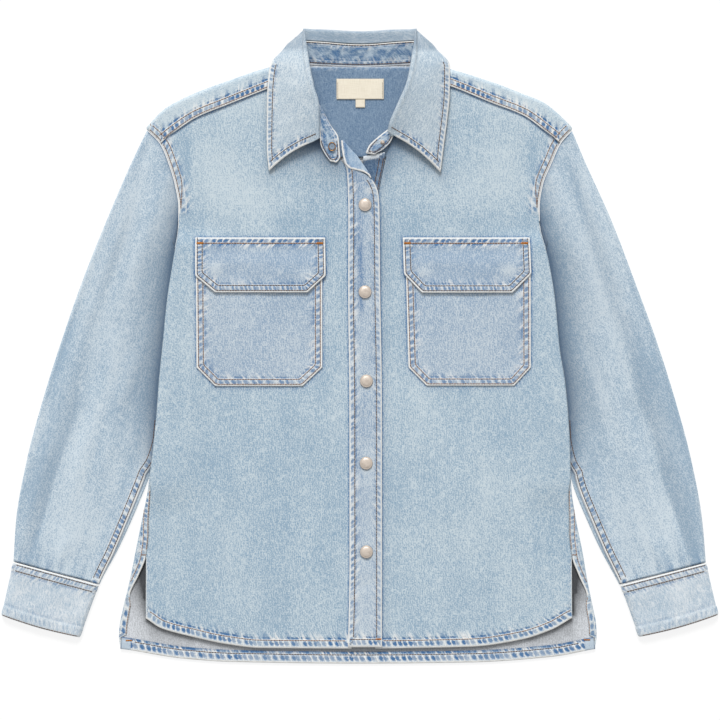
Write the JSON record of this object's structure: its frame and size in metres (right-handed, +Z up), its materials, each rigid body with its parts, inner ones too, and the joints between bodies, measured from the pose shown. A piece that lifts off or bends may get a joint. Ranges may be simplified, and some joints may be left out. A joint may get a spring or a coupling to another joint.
{
  "type": "denim shirt",
  "caption": "Light blue denim overshirt laid flat, with point collar, flapped chest pockets, snap placket, cuffed sleeves and a stepped hem with side vents.",
  "frame": {"origin": "middle of the laid shirt's outline, on the surface that it lies on", "axes": "+X to the right across the shirt as seen from above, +Y from the hem to the collar, +Z up from the surface"},
  "size_m": [0.859, 0.7618, 0.026],
  "materials": {
    "denim_body": "light stonewashed twill",
    "denim_back": "light stonewashed twill, paler inside",
    "denim_sleeve": "light stonewashed twill",
    "denim_collar": "light stonewashed twill, worn at the edges",
    "denim_trim": "light stonewashed twill, puckered at its seams",
    "denim_facing": "less washed twill",
    "denim_inside": "weft side of the twill",
    "snap_metal": "satin nickel",
    "socket_brass": "dull brass",
    "label_cloth": "woven cream tape, blank"
  },
  "bodies": {
    "root": {"back": "denim_back", "yoke_outer": "denim_body", "yoke_inner": "denim_facing", "front_left": "denim_body", "front_right": "denim_body", "placket_top": "denim_trim", "placket_turnback": "denim_inside", "placket_under": "denim_trim", "collar": "denim_collar", "collar_stand": "denim_collar", "sleeve_left": "denim_sleeve", "sleeve_right": "denim_sleeve", "cuff_left": "denim_trim", "cuff_right": "denim_trim", "pocket_left": "denim_trim", "pocket_right": "denim_trim", "flap_left": "denim_trim", "flap_right": "denim_trim", "snap_1": "snap_metal", "snap_2": "snap_metal", "snap_3": "snap_metal", "snap_4": "snap_metal", "snap_5": "snap_metal", "stand_socket": "socket_brass", "stand_stud": "snap_metal", "label": "label_cloth", "size_tab": "label_cloth"}
  },
  "joints": []
}
